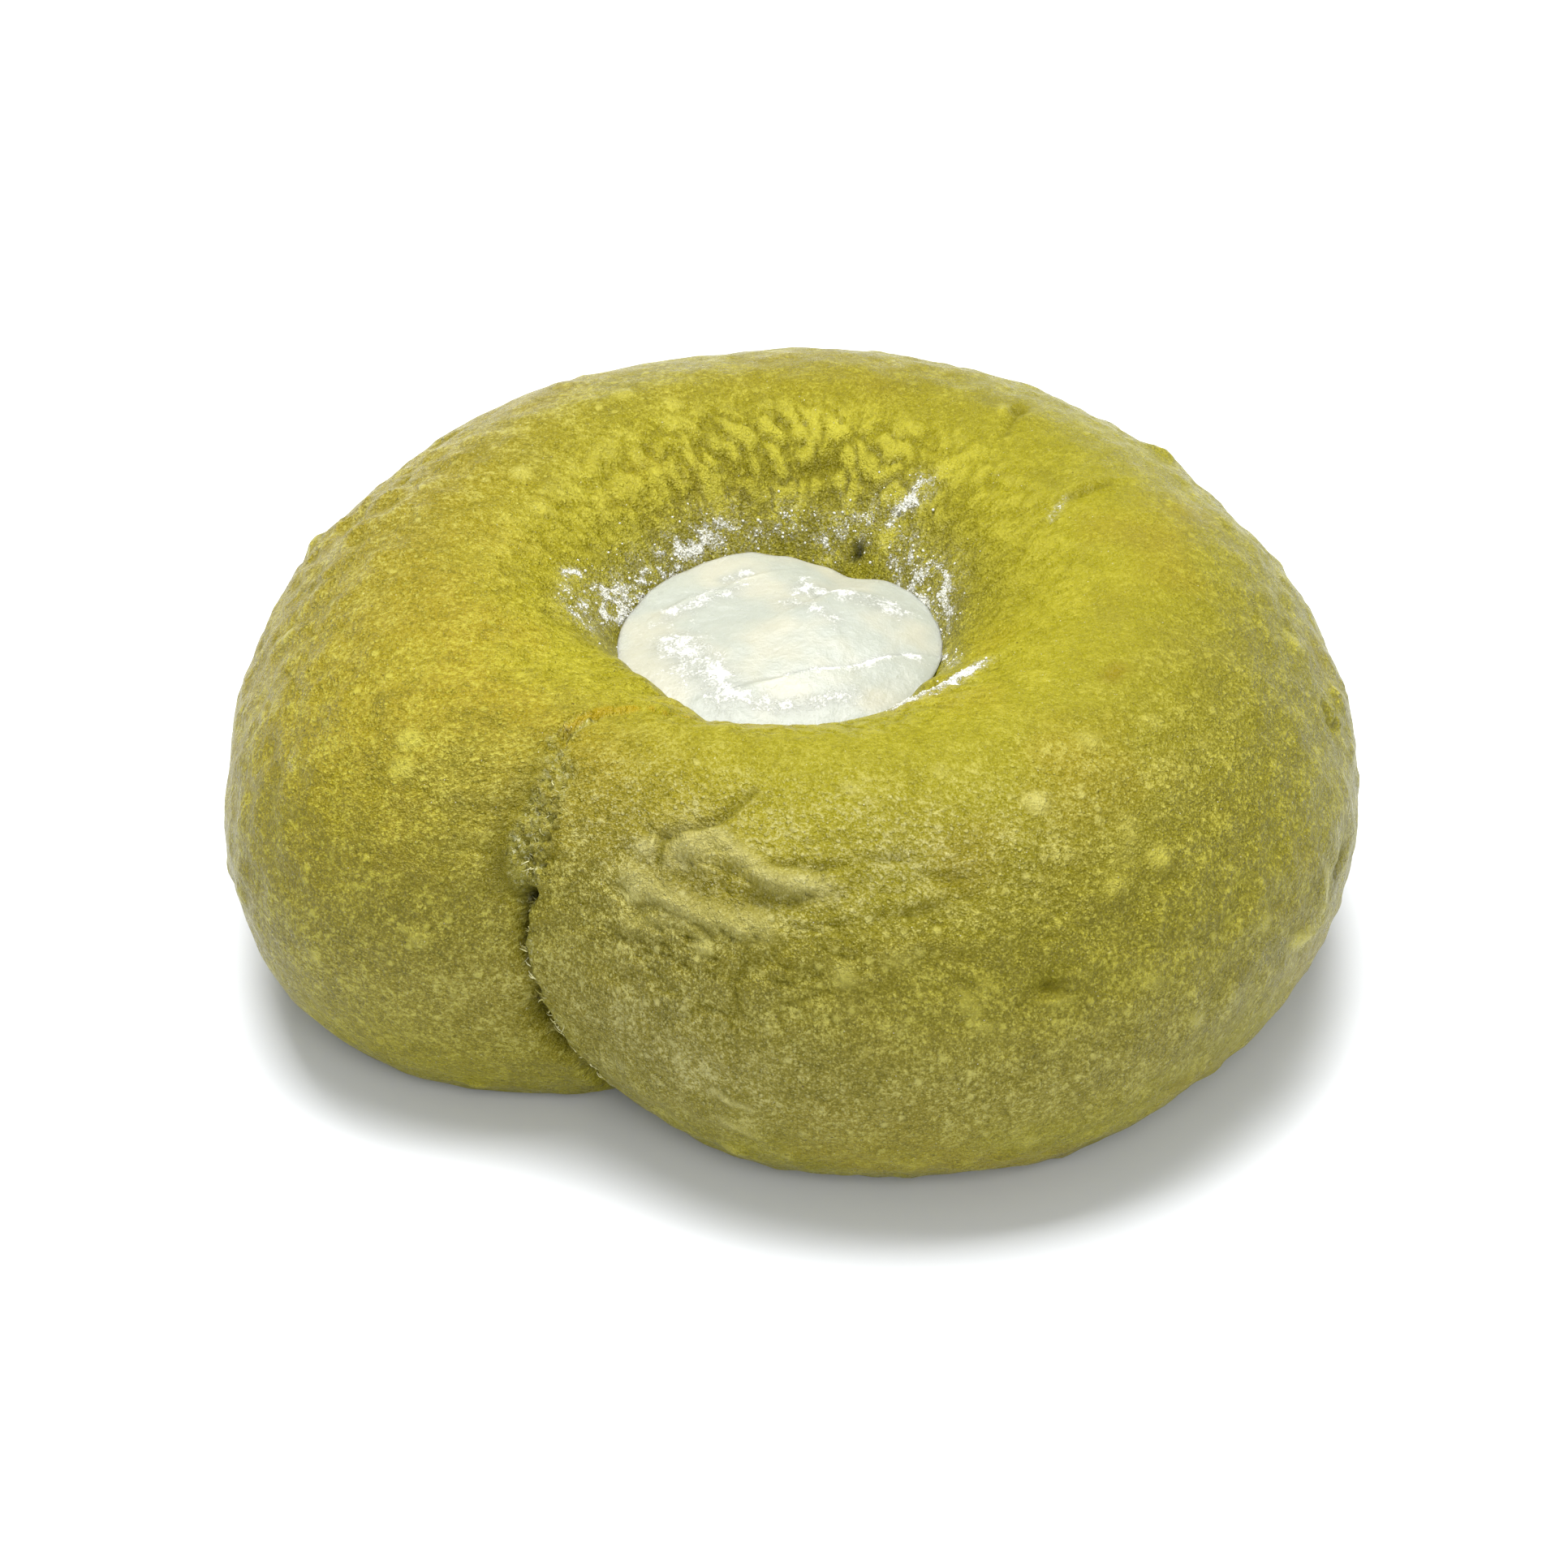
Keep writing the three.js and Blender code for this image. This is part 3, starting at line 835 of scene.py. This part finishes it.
def crustMaterial():
    look = crustLook
    n = Nodes("green_tea_crust")
    grain = n.attribute("grain").outputs["Vector"]
    torn, rim, deep, creaseShade = n.tones("seamToneAndShade")
    blisterAndHighlight, warm, grey, oliveStainAndShade = n.tones("skinTone")
    dust, calm, cream, _ = n.tones("starchTone")
    spot = n.spot()
    lively = n.math("SUBTRACT", 1.0, n.math("MULTIPLY", calm, 0.55))
    lively = n.math("MULTIPLY", lively, n.math("ADD", 1.0, n.math("MULTIPLY", grey, 0.5)))
    # broad warmth, greyness and olive stains; the greyness at the front's foot is partly painted floor
    # reflection, and the olive low in the hole partly painted shade
    warmth = n.math("ADD", warm, n.ramp(n.noise(spot, 0.06, 2.0), 0.5, 0.7, 0.0, 0.5))
    base = n.colour(n.clamped(warmth, 0.75), look["green"], look["warm"])
    greyish = n.math("ADD", grey, n.ramp(n.noise(spot, 0.09, 3.0, 0.6), 0.52, 0.72, 0.0, 0.35))
    base = n.colour(n.clamped(greyish, 0.7), base, look["grey"])
    base = n.colour(n.clamped(n.math("MULTIPLY", oliveStainAndShade, 0.75), 0.8), base, look["olive"])
    # mottling at two sizes, darker and paler about the base
    patches = n.noise(grain, 0.33, 4.0, 0.6)
    speckle = n.noise(grain, 2.0, 3.0, 0.75)
    mottle = n.math("ADD", n.math("MULTIPLY", patches, 0.35), n.math("MULTIPLY", speckle, 0.65))
    grit = n.noise(spot, 4.6, 2.0, 0.6)
    darker = n.math("ADD", n.ramp(mottle, 0.52, 0.36, 0.0, 0.6), n.ramp(grit, 0.5, 0.28, 0.0, 0.36))
    paler = n.math("ADD", n.ramp(mottle, 0.49, 0.64, 0.0, 0.62), n.ramp(grit, 0.5, 0.72, 0.0, 0.45))
    base = n.colour(n.clamped(n.math("MULTIPLY", darker, lively), 1.0), base, look["olive"])
    paleTone = n.colour(cream, look["pale"], look["cream"])
    base = n.colour(n.clamped(n.math("MULTIPLY", paler, lively), 1.0), base, paleTone)
    dots = n.math("ADD", n.blobs(grain, 2.9, 0.42, 0.3), n.blobs(grain, 1.6, 0.4, 0.45))
    dots = n.math("ADD", dots, n.blobs(grain, 0.7, 0.36, 0.6))
    dots = n.math("MULTIPLY", n.clamped(dots, 1.0), lively)
    base = n.colour(n.clamped(n.math("MULTIPLY", dots, 0.62), 0.8), base, paleTone)
    # blisters, and painted highlight on the fold's ridges and the hole wall's pleats
    base = n.colour(n.math("MULTIPLY", blisterAndHighlight, 0.75), base, paleTone)
    # creases and the seam: the olive in creases, dents, grooves, the seam's crack and beside the torn band
    # is painted shade, and so are the torn band's dark dots and the near black in the pit, slot and slits
    base = n.colour(n.clamped(n.math("MULTIPLY", creaseShade, 0.8), 0.9), base, look["olive"])
    base = n.colour(n.math("MULTIPLY", torn, 0.7), base, look["torn"])
    flecks = n.ramp(n.noise(spot, 2.0, 4.0, 0.75), 0.53, 0.62)
    base = n.colour(n.math("MULTIPLY", torn, flecks), base, look["fleck"])
    # dark dots: painted shade of small pits in the torn band
    shadedPitSpecks = n.ramp(n.noise(spot, 1.1, 3.0, 0.7), 0.41, 0.32)
    base = n.colour(n.math("MULTIPLY", torn, shadedPitSpecks), base, look["deep"])
    base = n.colour(n.math("MULTIPLY", rim, 0.8), base, look["rim"])
    base = n.colour(n.math("MULTIPLY", deep, 0.85), base, look["deep"])
    # tea leaf bits, starch and painted glints
    leafBits = n.ramp(n.cells(spot, 0.2), 0.018, 0.032, 0.8, 0.0)
    base = n.colour(leafBits, base, look["leaf"])
    clumps = n.noise(spot, 0.55, 5.0, 0.72, 0.3)
    clumps = n.math("ADD", clumps, n.math("MULTIPLY", n.noise(spot, 4.5, 2.0, 0.8), 0.95))
    edge = n.math("SUBTRACT", 1.36, n.math("MULTIPLY", dust, 0.62))
    powder = n.ramp(n.math("SUBTRACT", clumps, edge), 0.0, 0.2)
    haze = n.math("MULTIPLY", n.ramp(n.noise(spot, 3.5, 3.0, 0.7), 0.4, 0.75), n.math("MULTIPLY", dust, 0.7))
    base = n.colour(n.math("MAXIMUM", powder, haze), base, look["starch"])
    # glints: tiny painted highlights in the starch colour, where the noise lets them through
    glints = n.ramp(n.cells(spot, 1.1), 0.035, 0.075, 0.6, 0.0)
    glintGate = n.ramp(n.noise(spot, 0.3, 2.0), 0.46, 0.56)
    base = n.colour(n.math("MULTIPLY", glints, glintGate), base, look["starch"])
    n.join(base, n.surface.inputs["Base Color"])
    dimples = n.noise(grain, 0.9, 3.0, 0.6)
    rough = n.ramp(dimples, 0.3, 0.7, 0.25, 0.4)
    n.join(n.math("MAXIMUM", rough, n.math("MULTIPLY", powder, 0.95)), n.surface.inputs["Roughness"])
    n.surface.inputs["Specular IOR Level"].default_value = 0.2
    n.surface.inputs["Subsurface Weight"].default_value = 0.1
    n.surface.inputs["Subsurface Radius"].default_value = (1.0, 0.75, 0.2)
    n.surface.inputs["Subsurface Scale"].default_value = 1.2 * mm
    pores = n.noise(spot, 5.0, 2.0, 0.6)
    poreDepth = n.math("ADD", 0.3, n.math("MULTIPLY", n.clamped(n.math("ADD", grey, oliveStainAndShade), 1.0), 0.4))
    height = n.math("ADD", n.math("MULTIPLY", mottle, 1.8), n.math("MULTIPLY", pores, poreDepth))
    height = n.math("ADD", height, n.math("MULTIPLY", dots, 0.4))
    height = n.math("ADD", height, n.math("MULTIPLY", dimples, n.math("MULTIPLY", lively, 1.2)))
    height = n.math("ADD", height, n.math("MULTIPLY", powder, 0.4))
    bump = n.add("Bump", {"Height": height, "Strength": 1.0, "Distance": 0.36 * mm})
    n.join(bump.outputs["Normal"], n.surface.inputs["Normal"])
    return n.material


mochiLook = {
    "cream": tint(168, 166, 148),
    "cool": tint(156, 159, 147),
    "damp": tint(146, 148, 137),
    "powder": tint(206, 206, 200),
}


def mochiMaterial():
    look = mochiLook
    n = Nodes("steamed_rice_cake")
    spot = n.spot()
    base = n.colour(n.ramp(n.noise(spot, 0.12, 2.0), 0.4, 0.62), look["cool"], look["cream"])
    dusting = n.attribute("dusting").outputs["Fac"]
    base = n.colour(n.ramp(dusting, 0.0, 1.0, 0.0, 0.85), base, look["damp"])
    clumps = n.noise(spot, 0.5, 6.0, 0.68, 0.5)
    grit = n.noise(spot, 4.0, 2.0, 0.7)
    thick = n.math("ADD", n.math("MULTIPLY", dusting, 0.26), n.math("MULTIPLY", grit, 0.5))
    powder = n.ramp(n.math("ADD", clumps, thick), 0.89, 1.1)
    base = n.colour(powder, base, look["powder"])
    n.join(base, n.surface.inputs["Base Color"])
    n.join(n.ramp(powder, 0.0, 1.0, 0.42, 0.9), n.surface.inputs["Roughness"])
    n.surface.inputs["Subsurface Weight"].default_value = 0.8
    n.surface.inputs["Subsurface Radius"].default_value = (1.0, 1.0, 0.85)
    n.surface.inputs["Subsurface Scale"].default_value = 2.5 * mm
    height = n.math("ADD", n.math("MULTIPLY", powder, 0.6), n.noise(spot, 1.3, 4.0, 0.6))
    bump = n.add("Bump", {"Height": height, "Strength": 0.7, "Distance": 0.18 * mm})
    n.join(bump.outputs["Normal"], n.surface.inputs["Normal"])
    return n.material


def starchMaterial():
    n = Nodes("loose_starch")
    shade = n.ramp(n.noise(n.spot(), 0.8, 3.0), 0.3, 0.7)
    n.join(n.colour(shade, tint(186, 185, 168), tint(216, 216, 206)), n.surface.inputs["Base Color"])
    n.surface.inputs["Roughness"].default_value = 0.95
    n.surface.inputs["Specular IOR Level"].default_value = 0.1
    n.surface.inputs["Subsurface Weight"].default_value = 0.3
    n.surface.inputs["Subsurface Radius"].default_value = (1, 1, 0.9)
    n.surface.inputs["Subsurface Scale"].default_value = 0.4 * mm
    return n.material


def threadMaterial():
    n = Nodes("torn_dough_threads")
    shade = n.ramp(n.noise(n.spot(), 0.9, 3.0), 0.35, 0.65)
    n.join(n.colour(shade, tint(150, 142, 62), tint(196, 191, 142)), n.surface.inputs["Base Color"])
    n.surface.inputs["Roughness"].default_value = 0.5
    n.surface.inputs["Subsurface Weight"].default_value = 0.4
    n.surface.inputs["Subsurface Radius"].default_value = (1, 0.9, 0.5)
    n.surface.inputs["Subsurface Scale"].default_value = 0.5 * mm
    return n.material


# the studio

studio = {
    "skyStrength": 0.42,
    "skyColour": (0.95, 0.99, 1.05, 1),
    "softboxPower": 17.2,
    "softboxPlace": (-0.05, 0.15, 0.92),
    "softboxSize": 0.6,
    "fillPower": 4.8,
    "fillPlace": (0.12, -0.85, 0.6),
    "fillSize": 0.6,
    "cameraElevation": 36,
    "cameraDistance": 0.7,
    "cameraLens": 170.5,
    "aimHeight": 18 * mm,
    "aimShift": (-0.38 * mm, -2.37 * mm),  # of the camera, to its right and up
}


def makeFloor():
    bm = bmesh.new()
    bmesh.ops.create_grid(bm, x_segments=4, y_segments=4, size=2.5)
    mesh = bpy.data.meshes.new("floor")
    bm.to_mesh(mesh)
    bm.free()
    floor = bpy.data.objects.new("floor", mesh)
    bpy.context.scene.collection.objects.link(floor)
    n = Nodes("white_floor")
    n.surface.inputs["Base Color"].default_value = (0.765, 0.78, 0.805, 1)
    n.surface.inputs["Roughness"].default_value = 1.0
    n.surface.inputs["Specular IOR Level"].default_value = 0.0
    mesh.materials.append(n.material)


def makeLights():
    world = bpy.data.worlds.new("studio")
    bpy.context.scene.world = world
    world.use_nodes = True
    tree = world.node_tree
    background = tree.nodes["Background"]
    background.inputs["Color"].default_value = studio["skyColour"]
    path = tree.nodes.new("ShaderNodeLightPath")
    seen = tree.nodes.new("ShaderNodeMapRange")  # the backdrop is white, but lights the bagel less
    seen.inputs["To Min"].default_value = studio["skyStrength"]
    tree.links.new(path.outputs["Is Camera Ray"], seen.inputs["Value"])
    tree.links.new(seen.outputs["Result"], background.inputs["Strength"])
    for name in ("softbox", "fill"):
        lamp = bpy.data.lights.new(name, "AREA")
        lamp.energy = studio[name + "Power"]
        lamp.size = studio[name + "Size"]
        light = bpy.data.objects.new(name, lamp)
        bpy.context.scene.collection.objects.link(light)
        light.location = studio[name + "Place"]
        light.rotation_euler = (-light.location).to_track_quat("-Z", "Y").to_euler()


def makeCamera(aim):
    lift = math.radians(studio["cameraElevation"])
    look = Vector((0, math.cos(lift), -math.sin(lift)))
    up = Vector((0, math.sin(lift), math.cos(lift)))
    camera = bpy.data.objects.new("camera", bpy.data.cameras.new("camera"))
    bpy.context.scene.collection.objects.link(camera)
    camera.data.lens = studio["cameraLens"]
    camera.data.sensor_width = 36
    right, rise = studio["aimShift"]
    camera.location = aim - look * studio["cameraDistance"] + Vector((right, 0, 0)) + up * rise
    camera.rotation_euler = look.to_track_quat("-Z", "Y").to_euler()
    bpy.context.scene.camera = camera


def settle(piece, toFrame, material, slotName, *nodes):
    piece.data.transform(toFrame)
    piece.data.materials.append(material)
    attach(piece, "root")
    if nodes:
        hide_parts(*nodes)


bpy.context.scene.view_settings.view_transform = "Standard"
prepareMarks()
ringSkin = makeDoughRing()
toFrame = fitTo(ringSkin, "bagel_ring")
print("dough ring:", len(ringSkin.data.polygons), "faces")
mochiLump = makeMochi()
print("rice cake:", len(mochiLump.data.polygons), "faces")
settle(ringSkin, toFrame, crustMaterial(), "green_crust", "bagel_ring")
settle(mochiLump, toFrame, mochiMaterial(), "white_mochi", "mochi_filling")
starchDust = makeStarchDust()
settle(starchDust, toFrame, starchMaterial(), "white_mochi")
print("starch:", len(starchDust.data.polygons), "faces")
seamFibres = makeSeamFibres()
settle(seamFibres, toFrame, threadMaterial(), "green_crust")
print("seam threads:", len(seamFibres.data.polygons), "faces")
makeFloor()
makeLights()
holeAxis = toFrame @ Vector((0, 0, 0))
makeCamera(Vector((holeAxis.x, holeAxis.y, studio["aimHeight"])))
print("studio ready")
